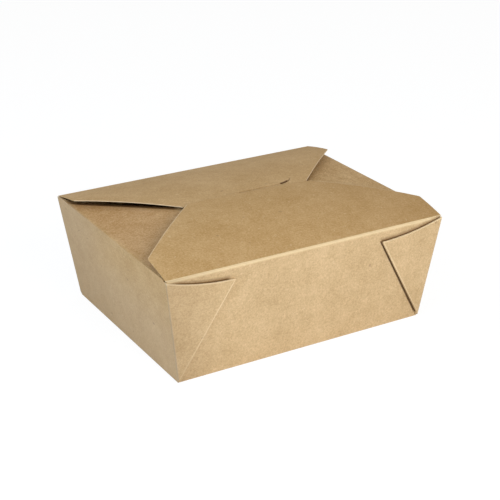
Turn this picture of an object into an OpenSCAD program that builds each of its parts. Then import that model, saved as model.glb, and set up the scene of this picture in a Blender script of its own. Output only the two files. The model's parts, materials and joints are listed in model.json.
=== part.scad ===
// Folded kraft board takeaway box with web corners and a four-flap lid, shown closed.
// The board is drawn as flat or bowed panels about their middle surfaces, with a round rod at each fold.
// Origin: middle of the underside of the base. +X along the long walls, front long wall towards -Y, +Z up.

/* [Box] */
// Length of the base, over the short walls
base_length = 153; // [130:1:190]
// Width of the base, over the long walls
base_width = 122; // [105:1:150]
// Height of the folds round the mouth
wall_height = 62.2; // [45:0.1:90]
// Outward lean of the long walls, in degrees from upright
long_wall_lean = 5.9; // [4:0.1:11]
// Outward lean of the short walls, in degrees from upright
short_wall_lean = 8.1; // [4:0.1:12]

/* [Board] */
// Thickness of the board
board = 0.4; // [0.35:0.01:0.6]
// Air between two layers that are folded flat on each other
layer_gap = 0.08; // [0.08:0.01:0.2]
// How far a pressed fold stands proud of the panels beside it
fold_swell = 0.02; // [0.01:0.01:0.05]
// Depth of the scored crease at the neck of the tab
crease_depth = 0.05; // [0.02:0.01:0.1]
// Running gap between the front wall and the fold of its flap
hinge_gap = 0.1; // [0.06:0.01:0.2]

/* [Long flaps] */
// How far the ends of a long flap's fold stand in from the outer faces of the short walls
flap_end_inset = 0.1; // [0:0.1:2]
// Length of the front flap's straight ends, from the fold to its outer corner
front_end_length = 19.5; // [16:0.5:26]
// Length of the back flap's straight ends, from the fold to its outer corner
back_end_length = 22.5; // [16:0.5:26]
// Radius of the outer corners
flap_corner_radius = 2.5; // [1:0.5:4]
// Angle of the slanted edges from square to the fold, in degrees
flap_slant = 45; // [40:1:50]
// Distance of each flap's highest line from the middle of the box
crest_offset = 9.5; // [4:0.5:14]
// Rise of the back flap above the mouth
back_rise = 7.3; // [5:0.1:10]
// How much higher the front flap rises than the back flap
front_extra_rise = 0.85; // [0.6:0.05:1.2]
// How far the front flap's free edge passes the middle of the box
front_reach = 0.9; // [0:0.1:1.5]
// How far the free edge falls back between the tab and the right slanted edge
free_edge_fall = 4.2; // [1:0.1:6]
// How far the back flap's hidden edge passes the middle of the box
back_reach = 8.5; // [6:0.5:12]

/* [Side flaps] */
// Slope of the folded side flaps, in degrees above level
side_slope = 6.5; // [4:0.1:8]
// Distance between a side flap's fold and the corner of the mouth
side_corner_gap = 2.4; // [2.3:0.1:8]
// Distance of a side flap's shoulder from the corner, along the short wall
side_shoulder_gap = 16.7; // [12:0.1:26]
// Distance of a side flap's shoulder from its own fold
side_shoulder_inset = 2.8; // [1:0.1:8]
// Width of a side flap's nose
side_nose = 5; // [2:0.5:12]
// How far the nose passes the point where the long flaps cross
side_nose_past = 0.5; // [0:0.1:4]

/* [Corner folds] */
// Height above the base at which the corner folds start
web_start = 1.5; // [1:0.1:3]
// Drop of the cut top edge of a corner fold at the corner
web_drop_corner = 0.7; // [0.7:0.1:3]
// Drop of the cut top edge of a corner fold at its crease
web_drop_crease = 7.2; // [5:0.1:14]
// Sag of that cut edge below a straight line
web_cut_sag = 1.6; // [0.5:0.1:3]
// Air between the wall and a corner fold at the top of the corner
web_gap_top = 0.2; // [0.15:0.05:0.4]
// Air between the wall and a corner fold at the foot
web_gap_foot = 0.5; // [0.3:0.05:0.8]
// Air between the wall and a corner fold at the top of its crease
web_gap_crease = 0.7; // [0.4:0.05:1]

/* [Lock] */
// Left end of the locking tab, from the middle of the box
tab_left = -3.3; // [-20:0.1:0]
// Width of the locking tab
tab_width = 27.6; // [18:0.1:36]
// Depth of the tab below the fold at its neck
tab_depth = 9; // [5:0.5:12]
// Radius of the tab's lower corners
tab_corner = 4; // [1:0.5:6]
// Distance of the neck's crease from the middle of the box, towards the front
neck_start = 0.4; // [0.2:0.1:1.5]
// Length of the sloping neck that leads down to the tab
neck_length = 3.15; // [2.8:0.05:4]
// Slope of the neck, in degrees below level
neck_slope = 16; // [12:1:20]
// Clearance round the tab in its slot
slot_gap = 0.35; // [0.25:0.05:0.5]
// Distance of the slot's hidden front edge from the middle of the box, towards the front
slot_front = 0.7; // [0.6:0.1:2]
// Radius of the slot's curved tail
tail_radius = 12; // [8:0.5:16]
// Turn of the curved tail, in degrees
tail_turn = 61; // [40:1:75]
// Opening of the curved tail where it leaves the slot
tail_opening = 1.3; // [0.8:0.1:2]
// Rise of the free edge where it meets the tab
shoulder_rise = 2.3; // [0.5:0.1:2.4]
// Length of that rise along the free edge
shoulder_run = 6; // [3:0.5:10]

/* [Hidden] */

kraft_outside = [0.80, 0.67, 0.47];
kraft_flap = [0.72, 0.58, 0.39];
eps = 0.01;
rod_facets = 32;
bow_facets = 720;
arc_facets = 360;
crease_start = 0.8;
crease_over = 2;
corner_steps = 9;

// Middle surfaces
pitch = board + layer_gap;
rod_radius = board / 2 + fold_swell;
crease_radius = pitch / 2 + rod_radius;
base_level = board / 2;
mouth_level = wall_height - board / 2;
long_foot = base_width / 2 - board / 2 / cos(long_wall_lean);
short_foot = base_length / 2 - board / 2 / cos(short_wall_lean);

// Distance of a wall's middle surface from the middle of the box at a height
function long_out(z) = long_foot + z * tan(long_wall_lean);
function short_out(z) = short_foot + z * tan(short_wall_lean);
long_fold = long_out(mouth_level);
short_fold = short_out(mouth_level);

// Height up the slope of a wall
function up_long(z) = z / cos(long_wall_lean);
function up_short(z) = z / cos(short_wall_lean);

// End of a panel that lies on a long wall or outside it, at a height up the slope, where it
// meets a plane at a distance beyond the short wall; out is its distance outside the long wall
function long_end(up, out, beyond) =
    short_foot + beyond / cos(short_wall_lean)
    + (up - out * tan(long_wall_lean)) * cos(long_wall_lean) * tan(short_wall_lean);
// End of a short wall's panel, where it meets a plane at a distance beyond the long wall
function short_end(up, beyond) =
    long_foot + beyond / cos(long_wall_lean) + up * cos(short_wall_lean) * tan(long_wall_lean);

// Corner folds, as [along the long wall, up its slope, outwards]
mouth_up = up_long(mouth_level);
start_up = up_long(base_level + web_start);
function web_gap(up) =
    web_gap_foot + (web_gap_top - web_gap_foot) * (up - start_up) / (mouth_up - start_up);
function inner_out(up) = board + web_gap(up);
function middle_out(up) = inner_out(up) + pitch / 2;
function outer_out(up) = inner_out(up) + pitch;
// Radius of the turn between the long wall and the inner layer
function turn_radius(up) = inner_out(up) / 2 + rod_radius;
// End of the long wall's own panel, where the board turns back
function turn_end(up, out) = long_end(up, out, -turn_radius(up));

// The crease halves the web between the two walls
long_edge_lean = atan(cos(long_wall_lean) * tan(short_wall_lean));
short_edge_lean = atan(cos(short_wall_lean) * tan(long_wall_lean));
crease_lean = (90 - long_edge_lean - short_edge_lean) / 2 - long_edge_lean;
web_foot = [long_end(start_up, outer_out(start_up), 0), start_up, middle_out(start_up)];
web_corner = [long_end(mouth_up, outer_out(mouth_up), 0), mouth_up, middle_out(mouth_up)];
crease_rise = mouth_up - web_drop_crease - start_up;
crease_top = web_foot + [-crease_rise * tan(crease_lean), crease_rise, web_gap_crease - web_gap_foot];
corner_top_up = mouth_up - web_drop_corner;
corner_top = [long_end(corner_top_up, outer_out(corner_top_up), 0), corner_top_up];

// Plane between the two layers of a corner fold
function unit(v) = v / norm(v);
to_corner = unit(web_corner - web_foot);
to_crease = unit(crease_top - web_foot);
web_normal = unit(cross(to_corner, to_crease));
web_side = cross(web_normal, to_corner);
function in_web(point) = [(point - web_foot) * to_corner, (point - web_foot) * web_side];

// Long flaps
flap_root = short_fold + board / 2 / cos(short_wall_lean) - flap_end_inset - rod_radius;
flap_crossing = flap_root - (long_fold - (front_end_length + back_end_length) / 2) * tan(flap_slant);
crest = long_fold - crest_offset;
side_root = long_fold - side_corner_gap;
front_rise = back_rise + front_extra_rise;
function bow_radius(rise) = (crest * crest + rise * rise) / (2 * rise);
function bow_height(rise, run) =
    rise - bow_radius(rise) + sqrt(bow_radius(rise) * bow_radius(rise) - (run - crest) * (run - crest));

// Lock
tab_right = tab_left + tab_width;
neck_run = long_fold - neck_start;
neck_top = bow_height(front_rise, neck_run);
function neck_level(run) = neck_top - (run - neck_run) * tan(neck_slope);
tab_run = neck_run + neck_length * cos(neck_slope);
tab_top = neck_level(tab_run);
slot_back_run = tab_run - long_fold + board / 2 + slot_gap;

// Panel of board about its middle surface
module panel(layer = 0)
    translate([0, 0, layer - board / 2])
    linear_extrude(board)
    children();

// Round rod between two points, with its radius at each
module rod(from, to, from_radius, to_radius) {
    run = to - from;
    translate(from)
    rotate([0, acos(run[2] / norm(run)), atan2(run[1], run[0])])
    cylinder(r1 = from_radius, r2 = to_radius, h = norm(run), $fn = rod_facets);
}

module both_long_sides()
    for (side = [0, 1]) mirror([0, side, 0]) children();

module both_short_sides()
    for (side = [0, 1]) mirror([side, 0, 0]) children();

// Plane of the front wall: x along the wall, y up its slope, z outwards
module on_long_wall()
    translate([0, -long_foot, 0])
    rotate([90 + long_wall_lean, 0, 0])
    children();

// Plane of the left wall: x along the wall towards the front, y up its slope, z outwards
module on_short_wall()
    translate([-short_foot, 0, 0])
    rotate([0, 0, -90])
    rotate([90 + short_wall_lean, 0, 0])
    children();

module base_panel() {
    x = short_out(base_level);
    y = long_out(base_level);
    translate([0, 0, base_level])
    panel()
    square([2 * x, 2 * y], center = true);
}

module base_folds() {
    x = short_out(base_level);
    y = long_out(base_level);
    end = rod_radius;
    intersection() {
        union() {
            both_long_sides()
            rod([-x - end, -y, base_level], [x + end, -y, base_level], rod_radius, rod_radius);
            both_short_sides()
            rod([-x, -y - end, base_level], [-x, y + end, base_level], rod_radius, rod_radius);
        }
        translate([-base_length, -base_width, 0])
        cube([2 * base_length, 2 * base_width, wall_height]);
    }
}

module long_wall(top_up) {
    foot_up = up_long(base_level);
    foot = long_end(foot_up, 0, 0);
    start = long_end(start_up, 0, 0);
    turn = turn_end(start_up, 0);
    top = turn_end(top_up, 0);
    on_long_wall()
    panel()
    polygon([
        [-foot, foot_up], [foot, foot_up], [start, start_up], [turn, start_up],
        [top, top_up], [-top, top_up], [-turn, start_up], [-start, start_up]
    ]);
}

// Short wall, lower outside the side flap, where the ends of the long flaps lie over it
module short_wall() {
    foot_up = up_short(base_level);
    layer_up = up_short(base_level + web_start);
    low_up = up_short(mouth_level - web_drop_corner);
    top_up = up_short(mouth_level);
    foot = short_end(foot_up, 0);
    layer = short_end(layer_up, outer_out(start_up));
    low = short_end(low_up, outer_out(corner_top_up));
    on_short_wall()
    panel()
    polygon([
        [-foot, foot_up], [foot, foot_up], [layer, layer_up], [low, low_up], [side_root, low_up],
        [side_root, top_up], [-side_root, top_up], [-side_root, low_up], [-low, low_up], [-layer, layer_up]
    ]);
}

// Everything above the curved cut that ends the corner fold at the top
module web_cut() {
    cut_end = [crease_top[0], crease_top[1]];
    span = corner_top - cut_end;
    middle = (corner_top + cut_end) / 2;
    radius = (span * span / 4 + web_cut_sag * web_cut_sag) / (2 * web_cut_sag);
    across = [-span[1], span[0]] / norm(span);
    translate([middle[0] + across[0] * (radius - web_cut_sag), middle[1] + across[1] * (radius - web_cut_sag), -board])
    cylinder(r = radius, h = crease_top[2] + 5 * board, $fn = arc_facets);
}

// One layer of a corner fold, at a distance outside the middle of the two
module web_layer(out)
    multmatrix([for (i = [0:2]) [to_corner[i], web_side[i], web_normal[i], web_foot[i]]])
    panel(out)
    children();

// Corner fold on the outside of the long wall, in two layers: the inner layer turns back
// at the wall's own edge, the outer one turns at the crease and runs on as the short wall
module corner_fold() {
    past = crease_top + crease_over * to_crease;
    crossing = (web_foot[0] - turn_end(start_up, 0))
        / (tan(crease_lean) + (turn_end(mouth_up, 0) - turn_end(start_up, 0)) / (mouth_up - start_up));
    inner_up = start_up + crossing;
    inner_start = [turn_end(inner_up, 0), inner_up, middle_out(inner_up)];
    inner_end = [turn_end(mouth_up, 0), mouth_up, middle_out(mouth_up)];
    turn_up = start_up - rod_radius;
    on_long_wall() {
        difference() {
            union() {
                web_layer(-pitch / 2)
                polygon([in_web(inner_start), in_web(inner_end), in_web(past)]);
                web_layer(pitch / 2)
                polygon([
                    in_web(web_foot + crease_over / 2 * to_crease), in_web(web_foot + crease_over / 2 * to_corner),
                    in_web(web_corner), in_web(past)
                ]);
                rod([turn_end(turn_up, 0), turn_up, inner_out(turn_up) / 2],
                    [turn_end(mouth_up, 0), mouth_up, inner_out(mouth_up) / 2],
                    turn_radius(turn_up), turn_radius(mouth_up));
                rod(web_foot + crease_start * to_crease, past, crease_radius, crease_radius);
                rod(web_foot + [0, 0, pitch / 2] - rod_radius * to_corner,
                    web_corner + [0, 0, pitch / 2], rod_radius, rod_radius);
            }
            web_cut();
        }
        rod([long_end(up_long(base_level), 0, 0), up_long(base_level), 0],
            [long_end(start_up, 0, 0), start_up, 0], rod_radius, rod_radius);
    }
}

// Bowed sheet that springs up from a fold on the x axis and runs in along y
module bow(rise) {
    radius = bow_radius(rise);
    length = 2 * short_fold;
    translate([0, crest, rise - radius])
    rotate([0, 90, 0])
    difference() {
        cylinder(r = radius + board / 2, h = length, center = true, $fn = bow_facets);
        cylinder(r = radius - board / 2, h = length + 2, center = true, $fn = bow_facets);
    }
}

// Half the width of a long flap at a distance from its fold, past its straight end
function flap_half(run, end_length) = flap_root - (run - end_length) * tan(flap_slant);

// Points round the outer corner of a long flap, from its straight end on
function flap_corner_points(end_length) = [
    for (step = [0:corner_steps])
        let (turn = flap_slant * step / corner_steps)
        [flap_root, end_length] + flap_corner_radius * [cos(turn) - 1, sin(turn) - tan(flap_slant / 2)]
];

// Outline of a long flap seen from above, with its free edge given from right to left
module long_flap_outline(end_length, free_edge) {
    corner = flap_corner_points(end_length);
    left = [for (step = [corner_steps:-1:0]) [-corner[step][0], corner[step][1]]];
    polygon(concat([[-flap_root, 0], [flap_root, 0]], corner, free_edge, left));
}

module long_flap_sheet(rise)
    intersection() {
        bow(rise);
        translate([0, 0, -board])
        linear_extrude(rise + 3 * board)
        children();
    }

module long_flap_fold() {
    end = flap_root + rod_radius;
    rod([-end, 0, 0], [end, 0, 0], rod_radius, rod_radius);
}

// Slot for the tab, with a tail that curves back from its right end
module slot_outline() {
    left = tab_left - slot_gap;
    right = tab_right + slot_gap;
    tail = [right - slot_gap, slot_back_run + tail_radius];
    tail_shift = tail_opening * [-1 / tan(tail_turn), -1];
    tail_end = tail_radius * sin(tail_turn);
    tail_height = tail_radius * (1 - cos(tail_turn));
    translate([left, -slot_front])
    square([right - left, slot_front + slot_back_run]);
    intersection() {
        difference() {
            translate(tail + tail_shift)
            circle(r = tail_radius, $fn = arc_facets);
            translate(tail)
            circle(r = tail_radius, $fn = arc_facets);
        }
        translate([tail[0] - slot_gap, slot_back_run - tail_opening - slot_gap])
        square([tail_end + slot_gap, tail_height + tail_opening + slot_gap]);
    }
}

// Back flap, in its place above the back wall
module back_flap() {
    free = long_fold + back_reach;
    half = flap_half(free, back_end_length);
    translate([0, long_fold, mouth_level])
    mirror([0, 1, 0]) {
        long_flap_sheet(back_rise)
        difference() {
            long_flap_outline(back_end_length, [[half, free], [-half, free]]);
            translate([0, long_fold])
            mirror([0, 1])
            slot_outline();
        }
        long_flap_fold();
    }
}

// Side flap, folded in first, under both long flaps
module side_flap() {
    root = side_root;
    shoulder = long_fold - side_shoulder_gap;
    length = short_fold - flap_crossing + side_nose_past;
    fold_end = root + rod_radius;
    translate([-short_fold, 0, mouth_level]) {
        rotate([0, -side_slope, 0])
        panel()
        polygon([
            [0, -root], [side_shoulder_inset, -shoulder], [length, -side_nose / 2],
            [length, side_nose / 2], [side_shoulder_inset, shoulder], [0, root]
        ]);
        rod([0, -fold_end, 0], [0, fold_end, 0], rod_radius, rod_radius);
    }
}

module carton()
    color(kraft_outside) {
        base_panel();
        base_folds();
        long_wall(up_long(mouth_level) - rod_radius - hinge_gap);
        mirror([0, 1, 0])
        long_wall(up_long(mouth_level));
        both_short_sides() {
            short_wall();
            side_flap();
            both_long_sides()
            corner_fold();
        }
        back_flap();
    }

// Front flap's outline: its free edge falls away on the right, dips where the tab leaves it
// and is swept up to the tab on the left
module front_flap_outline() {
    free = long_fold + front_reach;
    fall = free - free_edge_fall;
    left = tab_left - slot_gap;
    right = tab_right + slot_gap;
    long_flap_outline(front_end_length, [
        [flap_half(fall, front_end_length), fall], [right, free], [right, neck_run], [left, neck_run],
        [left, free + shoulder_rise], [tab_left - shoulder_run, free],
        [-flap_half(free, front_end_length), free]
    ]);
}

// What rounds off one lower corner of the tab
module tab_corner_cut()
    difference() {
        translate([-eps, -eps])
        square(tab_corner + eps);
        translate([tab_corner, tab_corner])
        circle(r = tab_corner, $fn = arc_facets);
    }

// Tab that hangs through the slot from a sloping neck, bent from one strip
module lock_tab() {
    half = board / 2;
    face = half / cos(neck_slope);
    difference() {
        translate([tab_left, 0, 0])
        rotate([90, 0, 90])
        linear_extrude(tab_width)
        polygon([
            [neck_run - half, neck_top],
            [neck_run, neck_top + half - crease_depth],
            [tab_run + half, neck_level(tab_run + half) + face],
            [tab_run + half, tab_top - tab_depth],
            [tab_run - half, tab_top - tab_depth],
            [tab_run - half, neck_level(tab_run - half) - face],
            [neck_run, neck_top - half + crease_depth]
        ]);
        translate([0, tab_run + board, tab_top - tab_depth])
        rotate([90, 0, 0])
        linear_extrude(2 * board)
        for (corner = [[tab_left, 0], [tab_right, 1]])
            translate([corner[0], 0])
            mirror([corner[1], 0])
            tab_corner_cut();
    }
}

module front_flap()
    color(kraft_flap)
    translate([0, -long_fold, mouth_level]) {
        long_flap_sheet(front_rise)
        front_flap_outline();
        long_flap_fold();
        lock_tab();
    }

carton();
front_flap();
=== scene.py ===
"""Kraft board takeaway box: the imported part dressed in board, under soft studio light."""

import json
import math
from functools import reduce

import bmesh
import bpy
from mathutils import Matrix, Vector

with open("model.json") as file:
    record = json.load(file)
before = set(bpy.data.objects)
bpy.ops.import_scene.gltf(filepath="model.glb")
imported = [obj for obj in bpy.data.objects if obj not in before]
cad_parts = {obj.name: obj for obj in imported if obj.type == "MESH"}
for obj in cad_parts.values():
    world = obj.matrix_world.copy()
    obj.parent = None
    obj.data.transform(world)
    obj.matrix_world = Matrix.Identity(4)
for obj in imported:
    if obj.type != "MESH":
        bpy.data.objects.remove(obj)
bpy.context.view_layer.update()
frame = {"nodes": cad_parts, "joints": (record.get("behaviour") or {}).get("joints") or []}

MM = 0.001

# Camera, fitted to the photograph's corners and folds; the picture is 500 pixels wide
PICTURE_WIDTH_PX = 500
FOCAL_PX = 1278.1
SENSOR_MM = 36.0
VIEW_AZIMUTH = math.radians(-30.58)
VIEW_ELEVATION = math.radians(23.72)
VIEW_DISTANCE = 742.8 * MM
AIM_RIGHT = 2.29 * MM
AIM_UP = 31.74 * MM

# The front fold is the hinge's line in the frame; places on the part are in millimetres
HINGE = Vector(frame["joints"][0]["pos_m"]) / MM
FLAP_FOLD = -HINGE.y
MOUTH = HINGE.z

# Walls and side flaps
LONG_LEAN = math.radians(5.9)
END_LEAN = math.radians(8.06)
LONG_FOOT = FLAP_FOLD - MOUTH * math.tan(LONG_LEAN)
SIDE_FOLD = 85.0
SIDE_SLOPE = math.radians(6.5)

# Long flaps: half their width, and the short straight ends beside their folds
FLAP_HALF = 84.9
FRONT_END = 19.5
BACK_END = 22.5

# Corner folds, along a long wall and up its slope
CREASE_FOOT = Vector((76.52, 1.71))
CREASE_TOP = Vector((45.68, 55.13))
CUT_CORNER = Vector((85.01, 61.63))
CUT_SAG = 1.6

# Curved tail of the lock slot, seen from above
TAIL_CENTRE = Vector((24.3, 15.18))
TAIL_RADIUS = 12.0

# Panels. Here and below, a pair is where a mark begins and where it is full; a band is where
# a mark starts, where it ends and how soft its ends are
LEFT_HALF = (1.0, -1.0)
BACK_HALF = (0.0, 1.0)
LID_ABOVE_MOUTH = (0.1, 0.5)
END_WALL_AT_FOOT = (75.4, 76.2)
LONG_OVER_SIDE_FLAP = (0.8, 1.1)
SIDE_FLAP_UNDER_SLANT = (-11.0, -8.5)
SIDE_FLAP_FROM_MIDDLE = (40.0, 44.0)

# Corner folds: distances out from the wall, past the crease, in from the corner and above the cut
OUTSIDE_WALL = (0.0, 0.1)
COVERED_BY_FOLD = (-0.6, 0.4)
LEFT_CREASE_CLOSED = (4.5, 1.0)
LEFT_CORNER_FAINT = (9.0, 1.0)
LEFT_CORNER_SHARE = 0.8
WALL_UNDER_FOLD = (0.75, 0.5)
CORNER_START = (0.3, 0.9)
GAP_SHADE_HEIGHT = (2.8, 0.2)
GAP_RAGGEDNESS = 1.2
GAP_DEPTH = (0.8, 0.3)
CREASE_UNDERSIDE = (1.75, 1.45)
CREASE_CROWN = (1.45, 1.7)
CREASE_END = (0.4, 0.0)
CREASE_START = (2.0, 4.5)
CREASE_OUTER_EDGE = (-1.15, -0.7)
CREASE_INNER_EDGE = (0.3, 0.05)
CREASE_FOOT_WIDENING = 0.3
CREASE_FOOT_HEIGHT = (50.0, 10.0)
CROWN_BAND = (0.1, 0.5, 0.2)
LAYER_OVER_WALL = (0.5, 0.65)
LAYER_EDGE_HEIGHT = (-0.6, -0.3)
TURNED_CORNER = (38.0, -10.0)

# Flaps and end walls
FOLD_LOWER_SIDE = (-2.2, -0.3)
FOLD_UPPER_SIDE = (0.6, 0.35)
FOLD_FACE = (-0.35, 0.0)
SLANT_EDGE_BAND = (-0.12, 0.4, 0.1)
CREVICE_DEPTH = (-0.5, -2.0)
CREVICE_SHRINK = 0.1
CREVICE_SHRINK_FROM = 50.0
TAIL_ARC_BAND = (-0.8, 0.2, 0.3)
TAIL_SIDE_BAND = (25.2, 30.0, 1.2)
TAIL_TO_FRONT = (10.0, 9.0)
COOL_TOWARDS_FOOT = (62.0, 20.0)
COOL_TOWARDS_BACK = (-20.0, 50.0)
DIM_TOWARDS_BACK = (-20.0, 75.0)
DIM_TOWARDS_RIGHT = (-20.0, 130.0)

# How strongly each mark, painted shade and painted highlight shows, from 0 to 1
GAP_SHADE = 0.62
GAP_DEEP_SHADE = 0.92
CREASE_SHADE = 0.80
TURNED_SHADE = 0.28
CREVICE_SHADE = 0.95
TAIL_SHADE = 0.95
END_WALL_SHADE = 0.10
LID_END_SHADE = 0.25
LAYER_EDGE_PALE = 0.9
CROWN_PALE_AND_HIGHLIGHT = 0.55
FOLD_PALE_AND_HIGHLIGHT = 0.85
SLANT_EDGE_PALE = 0.6
STRAND_PALE = 0.22
SPECK_DARK = 0.45
END_WALL_COOL_LIGHT = 0.25
SIDE_FLAP_WARM_SHADE = 0.22

# Board colours: the panels' tints, the flaps' ones darker as painted shade, and the colours that the
# marks, painted shades and painted highlights turn them to
WALL_TINT = (0.558, 0.394, 0.212)
# The flap tints are darker than the wall tint: painted shade for the less light that falls on the flaps
SHADED_FLAP_TINT = (0.480, 0.302, 0.130)
SHADED_FRONT_FLAP_TINT = (0.470, 0.289, 0.116)
COOL_LIGHT_TINT = (0.54, 0.415, 0.295)
WARM_SHADE_TINT = (0.40, 0.16, 0.050)
STRAND = (0.80, 0.64, 0.42)
SPECK = (0.22, 0.13, 0.06)
PRESSED_FOLD_AND_HIGHLIGHT = (0.82, 0.65, 0.39)
SLANT_EDGE = (0.78, 0.62, 0.41)
LAYER_EDGE_AND_CROWN_HIGHLIGHT = (0.78, 0.61, 0.38)
SHADE = (0.120, 0.054, 0.013)

# Fibres: how far they take the board from dark to light, the share of that in each channel,
# and what the tone gets from each noise
FIBRE_RANGE = 0.36
FIBRE_STEPS = (1.0, 0.81, 0.57)
CLOUD_TONE = 0.42
MOTTLE_TONE = 0.36
GRAIN_TONE = 1.26
PLAIN_PANEL_CALM = 0.22
SIDE_FLAP_CONTRAST = 0.6
NOISE_MIDDLE = 0.5
SEED_DIRECTION = (1.0, 0.7, 1.3)
STRAND_WIDTH = (0.018, 0.004)
STRAND_BREAKS = (0.56, 0.66)
SPECK_LEVEL = (0.845, 0.875)

# Sheen and tooth of the board
ROUGHNESS = 0.60
GRAIN_ROUGHNESS = 0.2
GLOSS = 0.25
TOOTH_STRENGTH = 0.30
TOOTH_DEPTH = 0.05 * MM
STRAND_HEIGHT = 0.5

# Surroundings: the floor's greys where it lights the box and where it is seen, and the world
WHITE = (1.0, 1.0, 1.0)
FLOOR_SIZE = 6.0
FLOOR_BOUNCE = (0.88, 0.88, 0.88)
FLOOR_SHADOW = (0.16, 0.16, 0.16)
FLOOR_GLOW = 0.89
WORLD_STRENGTH = 0.42


class Value:
    """A socket of a node tree; sums on it add Math nodes."""

    def __init__(self, tree, socket):
        self.tree = tree
        self.socket = socket

    def maths(self, operation, *others):
        return self.tree.number(operation, self, *others)

    def __add__(self, other):
        return self.maths("ADD", other)

    def __sub__(self, other):
        return self.maths("SUBTRACT", other)

    def __rsub__(self, other):
        return self.tree.number("SUBTRACT", other, self)

    def __mul__(self, other):
        return self.maths("MULTIPLY", other)

    def __abs__(self):
        return self.maths("ABSOLUTE")

    __radd__ = __add__
    __rmul__ = __mul__

    def root(self):
        return self.maths("SQRT")

    def at_least(self, other):
        return self.maths("MAXIMUM", other)

    def between(self, low, high):
        """0 below low, 1 above high and smooth in between; low may be the larger."""
        steps = {"Value": self, "From Min": low, "From Max": high}
        return self.tree.node("ShaderNodeMapRange", {"interpolation_type": "SMOOTHSTEP"}, steps)

    def band(self, low, high, soft):
        """1 between low and high, with soft ends."""
        return self.between(low - soft, low) * self.between(high + soft, high)


def opaque(colour):
    """A colour with an alpha of 1; one that comes from a node stays as it is."""
    return colour if isinstance(colour, Value) else (*colour, 1.0)


class Tree:
    """The nodes of a material or of the world, all added by one method."""

    def __init__(self, owner):
        owner.use_nodes = True
        self.owner = owner
        self.nodes = owner.node_tree.nodes
        self.links = owner.node_tree.links
        self.nodes.clear()

    def node(self, kind, settings=None, sockets=None, output=0):
        made = self.nodes.new(kind)
        for name, setting in (settings or {}).items():
            setattr(made, name, setting)
        for name, given in (sockets or {}).items():
            if isinstance(given, Value):
                self.links.new(given.socket, made.inputs[name])
            else:
                made.inputs[name].default_value = given
        return Value(self, made.outputs[output]) if made.outputs else None

    def number(self, operation, *terms):
        return self.node("ShaderNodeMath", {"operation": operation}, dict(enumerate(terms)))

    def mix(self, amount, first, second, blend="MIX"):
        """Mixed colour; the Mix node's colour sockets are numbers 6 and 7, and output 2."""
        settings = {"data_type": "RGBA", "blend_type": blend}
        return self.node("ShaderNodeMix", settings, {0: amount, 6: opaque(first), 7: opaque(second)}, 2)

    def seen_directly(self):
        """1 for rays that show the background: from the camera, in gloss and through glass."""
        camera, glossy, through = (
            self.node("ShaderNodeLightPath", output=ray)
            for ray in ("Is Camera Ray", "Is Glossy Ray", "Is Transmission Ray")
        )
        return camera.at_least(glossy).at_least(through)

    def surface(self, shader, output="ShaderNodeOutputMaterial"):
        self.node(output, None, {"Surface": shader})
        return self.owner


class Board(Tree):
    """A board material, with the places on the part that its marks and painted shades follow."""

    def __init__(self, name, flap_end):
        super().__init__(bpy.data.materials.new(name))
        self.place = self.node("ShaderNodeTexCoord", output="Object")
        self.x, self.y, self.z = (
            self.node("ShaderNodeSeparateXYZ", None, {0: self.place}, axis) * (1 / MM) for axis in "XYZ"
        )
        self.side = abs(self.x)
        self.left = self.x.between(*LEFT_HALF)
        self.above_mouth = self.z - MOUTH
        self.lid = self.above_mouth.between(*LID_ABOVE_MOUTH)
        self.end_wall = (self.side - self.z * math.tan(END_LEAN)).between(*END_WALL_AT_FOOT)
        from_fold = FLAP_FOLD - abs(self.y)
        # The slanted ends are at 45 degrees; past_slant is positive off the flap
        self.past_slant = (self.side + from_fold - (FLAP_HALF + flap_end)) * math.sqrt(0.5)
        # 1 on the long flaps, and 1 on the part of the side flaps that shows beside them
        side_flap_rise = (SIDE_FOLD - self.side) * math.tan(SIDE_SLOPE)
        self.long_flap = (self.above_mouth - side_flap_rise).between(*LONG_OVER_SIDE_FLAP)
        under_slant = self.past_slant.between(*SIDE_FLAP_UNDER_SLANT)
        from_middle = self.side.between(*SIDE_FLAP_FROM_MIDDLE)
        self.side_flap = self.lid * (1.0 - self.long_flap) * under_slant * from_middle

    def noise(self, size, detail, seed, rough=0.5):
        """Noise from 0 to 1 with features about size metres across; the seed moves it."""
        moved = self.node("ShaderNodeMapping", None, {
            "Vector": self.place, "Location": [seed * part for part in SEED_DIRECTION],
        })
        return self.node("ShaderNodeTexNoise", None, {
            "Vector": moved, "Scale": 1 / size, "Detail": detail, "Roughness": rough,
        })


class CornerFold:
    """How a place lies to the corner fold at its end of a long wall."""

    def __init__(self, board):
        self.up = board.z * (1 / math.cos(LONG_LEAN))
        wall = board.z * math.tan(LONG_LEAN) + LONG_FOOT
        self.out = (abs(board.y) - wall) * math.cos(LONG_LEAN)
        self.outside = self.out.between(*OUTSIDE_WALL)
        self.past_crease = distance_past_crease(board.side, self.up)
        self.above_cut = distance_above_cut(board.side, self.up)
        corner = CREASE_FOOT.x + (self.up - CREASE_FOOT.y) * math.tan(END_LEAN)
        self.from_corner = corner - board.side
        self.covered = self.past_crease.between(*COVERED_BY_FOLD) * self.outside
        self.left = board.left
        # Beside the left fold's crease no gap shows
        self.closed = self.left * self.past_crease.between(*LEFT_CREASE_CLOSED)


def distance_from(centre, across, along):
    """Distance of a place from a centre."""
    run = across - centre.x
    rise = along - centre.y
    return (run * run + rise * rise).root()


def distance_past_crease(side, up):
    """Distance from the crease of a corner fold, positive towards the corner of the box."""
    way = (CREASE_TOP - CREASE_FOOT).normalized()
    return (side - CREASE_FOOT.x) * way.y - (up - CREASE_FOOT.y) * way.x


def distance_above_cut(side, up):
    """Distance above the cut edge of a corner fold, which sags in an arc."""
    span = CUT_CORNER - CREASE_TOP
    radius = (span.length_squared / 4 + CUT_SAG ** 2) / (2 * CUT_SAG)
    square = Vector((-span.y, span.x)).normalized()
    centre = (CUT_CORNER + CREASE_TOP) / 2 + square * (radius - CUT_SAG)
    return radius - distance_from(centre, side, up)


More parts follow.
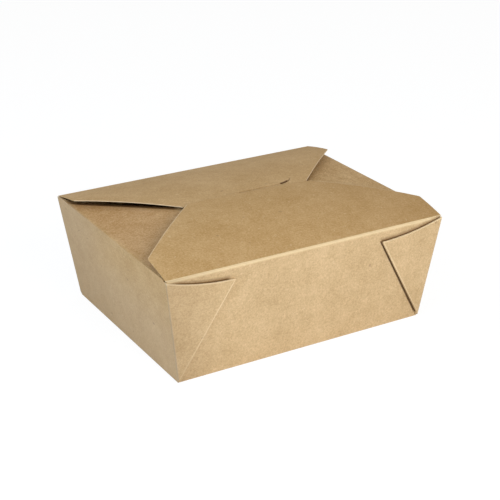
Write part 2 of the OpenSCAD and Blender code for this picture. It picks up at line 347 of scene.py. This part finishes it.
def gap_shade(board, fold):
    """Shade on the wall above the cut edge, ragged on top and fainter at the left corner."""
    ragged = (board.noise(size=1.1 * MM, detail=2, seed=2.7) - NOISE_MIDDLE) * GAP_RAGGEDNESS
    faint = fold.left * fold.from_corner.between(*LEFT_CORNER_FAINT) * LEFT_CORNER_SHARE
    wall = fold.covered * fold.out.between(*WALL_UNDER_FOLD) * fold.from_corner.between(*CORNER_START)
    wall = wall * (1.0 - fold.closed) * (1.0 - faint)
    soft = wall * (fold.above_cut + ragged).between(*GAP_SHADE_HEIGHT) * GAP_SHADE
    deep = wall * fold.above_cut.between(*GAP_DEPTH) * GAP_DEEP_SHADE
    return soft.at_least(deep)


def crease_shade(fold):
    """Shade under the crease, a little wider towards the foot."""
    widening = fold.up.between(*CREASE_FOOT_HEIGHT) * CREASE_FOOT_WIDENING
    outer = (fold.past_crease + widening).between(*CREASE_OUTER_EDGE)
    width = outer * fold.past_crease.between(*CREASE_INNER_EDGE)
    length = fold.above_cut.between(*CREASE_END) * fold.up.between(*CREASE_START)
    under = fold.outside * fold.out.between(*CREASE_UNDERSIDE) * (1.0 - fold.closed)
    return under * length * width * CREASE_SHADE


def turned_shade(fold):
    """Shade on the left corner, which turns away from the light."""
    return fold.left * fold.outside * fold.from_corner.between(*TURNED_CORNER) * TURNED_SHADE


def fold_edges_and_crown_highlight(fold):
    """Pale raw edges of a corner fold's layers, and the pale crown of its crease, partly scuffed board
    and partly a painted highlight.
    """
    layer = fold.outside * fold.out.between(*LAYER_OVER_WALL) * fold.covered
    raw = layer * fold.above_cut.between(*LAYER_EDGE_HEIGHT) * LAYER_EDGE_PALE
    crown = fold.outside * fold.out.between(*CREASE_CROWN) * fold.past_crease.band(*CROWN_BAND)
    return raw.at_least(crown * fold.above_cut.between(*CREASE_END) * CROWN_PALE_AND_HIGHLIGHT)


def crevice_shade(board):
    """Shade on the side flaps under the slanted ends of the back flap."""
    shrink = (board.side - CREVICE_SHRINK_FROM) * CREVICE_SHRINK
    under = (board.past_slant + shrink).between(*CREVICE_DEPTH)
    return under * board.side_flap * board.y.between(*BACK_HALF) * CREVICE_SHADE


def tail_shade(board):
    """Shade in the curved tail of the lock slot."""
    beyond_arc = distance_from(TAIL_CENTRE, board.x, board.y) - TAIL_RADIUS
    tail = beyond_arc.band(*TAIL_ARC_BAND) * board.x.band(*TAIL_SIDE_BAND)
    return board.lid * tail * board.y.between(*TAIL_TO_FRONT) * TAIL_SHADE


def pressed_fold_and_highlight(board):
    """Pale pressed board along the folds of the long flaps, partly a painted highlight on the rounded
    fold.
    """
    height = board.above_mouth.between(*FOLD_LOWER_SIDE) * board.above_mouth.between(*FOLD_UPPER_SIDE)
    return height * (abs(board.y) - FLAP_FOLD).between(*FOLD_FACE) * FOLD_PALE_AND_HIGHLIGHT


def slant_edge(board):
    """Pale raw edge along the slanted ends of the long flaps."""
    return board.lid * board.long_flap * board.past_slant.band(*SLANT_EDGE_BAND) * SLANT_EDGE_PALE


def painted_cool_light(board):
    """Painted cool light: a cooler tint of the end walls towards their foot and back."""
    towards = board.z.between(*COOL_TOWARDS_FOOT).at_least(board.y.between(*COOL_TOWARDS_BACK))
    return board.end_wall * (1.0 - board.lid) * towards * END_WALL_COOL_LIGHT


def all_shade(board, fold, end_shade):
    """The darkest shade of all that fall on a place."""
    return reduce(Value.at_least, (
        gap_shade(board, fold),
        crease_shade(fold),
        turned_shade(fold),
        crevice_shade(board),
        tail_shade(board),
        board.end_wall * board.y.between(*DIM_TOWARDS_BACK) * END_WALL_SHADE,
        board.lid * board.x.between(*DIM_TOWARDS_RIGHT) * end_shade,
    ))


def shifted(colour, amount):
    """Lighter or darker in the way that fibres are: nearly the same step in each channel."""
    return tuple(part + amount * step for part, step in zip(colour, FIBRE_STEPS))


def fibre_tone(board, grain):
    """How light the fibres are, from clouds, mottle and grain; calmer on the lid and end walls."""
    clouds = board.noise(size=24 * MM, detail=2, seed=3.1) - NOISE_MIDDLE
    mottle = board.noise(size=6 * MM, detail=2, seed=7.7) - NOISE_MIDDLE
    tone = clouds * CLOUD_TONE + mottle * MOTTLE_TONE + (grain - NOISE_MIDDLE) * GRAIN_TONE
    calm = board.lid.at_least(board.end_wall) * PLAIN_PANEL_CALM
    return tone * (1.0 - calm + board.side_flap * SIDE_FLAP_CONTRAST) + NOISE_MIDDLE


def pale_strands(board):
    """Short thin strands: lines where a noise passes its middle, broken by another noise."""
    line = abs(board.noise(size=3.4 * MM, detail=1, seed=1.3) - NOISE_MIDDLE)
    breaks = board.noise(size=2.0 * MM, detail=0, seed=5.9)
    return line.between(*STRAND_WIDTH) * breaks.between(*STRAND_BREAKS)


def dark_specks(board):
    return board.noise(size=3.0 * MM, detail=0, seed=11.8).between(*SPECK_LEVEL)


def kraft_board(name, wall_tint, shaded_flap_tint, flap_end, end_shade=0.0):
    """Unbleached board: cloudy, with pale and dark fibres and the marks of its folds, and painted shade
    and highlights.
    """
    board = Board(name, flap_end)
    fold = CornerFold(board)
    grain = board.noise(size=1.05 * MM, detail=2, seed=5.2, rough=0.9)
    strands = pale_strands(board)
    dark_wall, dark_flap = (shifted(tint, -FIBRE_RANGE / 2) for tint in (wall_tint, shaded_flap_tint))
    # The lid and the insides take the flap tint, which is darker than the wall tint as painted shade
    dark = board.mix(board.lid.at_least(1.0 - fold.outside), dark_wall, dark_flap)
    light = shifted((0, 0, 0), FIBRE_RANGE)
    colour = board.mix(fibre_tone(board, grain), dark, light, "ADD")
    marks = (
        (painted_cool_light(board), COOL_LIGHT_TINT),
        (strands * STRAND_PALE, STRAND),
        (dark_specks(board) * SPECK_DARK, SPECK),
        (pressed_fold_and_highlight(board), PRESSED_FOLD_AND_HIGHLIGHT),
        (slant_edge(board), SLANT_EDGE),
        # Painted warm shade on the left side flap, taking off the cool fill light there
        (board.side_flap * board.left * SIDE_FLAP_WARM_SHADE, WARM_SHADE_TINT),
        (fold_edges_and_crown_highlight(fold), LAYER_EDGE_AND_CROWN_HIGHLIGHT),
        (all_shade(board, fold, end_shade), SHADE),
    )
    for amount, mark_colour in marks:
        colour = board.mix(amount, colour, mark_colour)
    tooth = board.noise(size=0.7 * MM, detail=3, seed=4.4, rough=0.6)
    relief = board.node("ShaderNodeBump", None, {
        "Strength": TOOTH_STRENGTH,
        "Distance": TOOTH_DEPTH,
        "Height": tooth + strands * STRAND_HEIGHT,
    })
    return board.surface(board.node("ShaderNodeBsdfPrincipled", None, {
        "Base Color": colour,
        "Roughness": grain * GRAIN_ROUGHNESS + ROUGHNESS,
        "Normal": relief,
        "Specular IOR Level": GLOSS,
    }))


def floor_finish():
    """Pale floor that looks white and keeps the box's shadow."""
    floor = Tree(bpy.data.materials.new("studio_floor"))
    plain = floor.node("ShaderNodeBsdfDiffuse", None, {"Color": opaque(FLOOR_BOUNCE)})
    shaded = floor.node("ShaderNodeBsdfDiffuse", None, {"Color": opaque(FLOOR_SHADOW)})
    glow = floor.node("ShaderNodeEmission", None, {"Color": opaque(WHITE), "Strength": FLOOR_GLOW})
    white = floor.node("ShaderNodeAddShader", None, {0: shaded, 1: glow})
    return floor.surface(floor.node("ShaderNodeMixShader", None, {
        "Fac": floor.seen_directly(), 1: plain, 2: white,
    }))


def add_floor(size):
    shape = bmesh.new()
    bmesh.ops.create_grid(shape, x_segments=1, y_segments=1, size=size / 2)
    mesh = bpy.data.meshes.new("floor")
    shape.to_mesh(mesh)
    shape.free()
    mesh.materials.append(floor_finish())
    floor = bpy.data.objects.new("floor", mesh)
    bpy.context.scene.collection.objects.link(floor)


def direction(azimuth, elevation):
    """Unit vector from the box towards an azimuth and elevation; azimuth 0 is the front."""
    return Vector((
        math.sin(azimuth) * math.cos(elevation),
        -math.cos(azimuth) * math.cos(elevation),
        math.sin(elevation),
    ))


def add_camera():
    back = direction(VIEW_AZIMUTH, VIEW_ELEVATION)
    right = Vector((math.cos(VIEW_AZIMUTH), math.sin(VIEW_AZIMUTH), 0.0))
    up = back.cross(right)
    lens = bpy.data.cameras.new("camera")
    lens.sensor_width = SENSOR_MM
    lens.lens = SENSOR_MM * FOCAL_PX / PICTURE_WIDTH_PX
    camera = bpy.data.objects.new("camera", lens)
    turn = Matrix((right, up, back)).transposed().to_4x4()
    place = right * AIM_RIGHT + up * AIM_UP + back * VIEW_DISTANCE
    camera.matrix_world = Matrix.Translation(place) @ turn
    bpy.context.scene.collection.objects.link(camera)
    bpy.context.scene.camera = camera


def add_lamp(name, azimuth, elevation, distance, size, watts, colour):
    """Round soft lamp that faces the middle of the box; angles in degrees."""
    light = bpy.data.lights.new(name, "AREA")
    light.shape = "DISK"
    light.size = size
    light.energy = watts
    light.color = colour
    lamp = bpy.data.objects.new(name, light)
    away = direction(math.radians(azimuth), math.radians(elevation))
    lamp.location = away * distance + Vector((0, 0, MOUTH * MM / 2))
    lamp.rotation_euler = away.to_track_quat("Z", "Y").to_euler()
    bpy.context.scene.collection.objects.link(lamp)


def add_world(strength, colour):
    """Even light from all round, which looks white where it shows."""
    sky = Tree(bpy.data.worlds.new("studio"))
    soft = sky.node("ShaderNodeBackground", None, {"Color": opaque(colour), "Strength": strength})
    white = sky.node("ShaderNodeBackground", None, {"Color": opaque(WHITE)})
    mixed = sky.node("ShaderNodeMixShader", None, {"Fac": sky.seen_directly(), 1: soft, 2: white})
    bpy.context.scene.world = sky.surface(mixed, "ShaderNodeOutputWorld")


finishes = {
    "carton": kraft_board("kraft_board", WALL_TINT, SHADED_FLAP_TINT, BACK_END),
    "front_flap": kraft_board(
        "kraft_board_lid", SHADED_FRONT_FLAP_TINT, SHADED_FRONT_FLAP_TINT, FRONT_END, LID_END_SHADE
    ),
}
for name, finish in finishes.items():
    node = frame["nodes"][name]
    node.data.materials.clear()
    node.data.materials.append(finish)

add_floor(FLOOR_SIZE)
add_camera()
add_world(WORLD_STRENGTH, WHITE)
add_lamp("key", azimuth=8, elevation=25, distance=1.2, size=0.7, watts=8.9, colour=(1.0, 0.985, 0.96))
add_lamp("fill", azimuth=-80, elevation=30, distance=0.6, size=0.5, watts=1.9, colour=(0.62, 0.80, 1.03))
add_lamp("top", azimuth=165, elevation=60, distance=1.2, size=0.9, watts=1.0, colour=(0.90, 0.96, 1.0))

bpy.context.scene.view_settings.view_transform = "Standard"
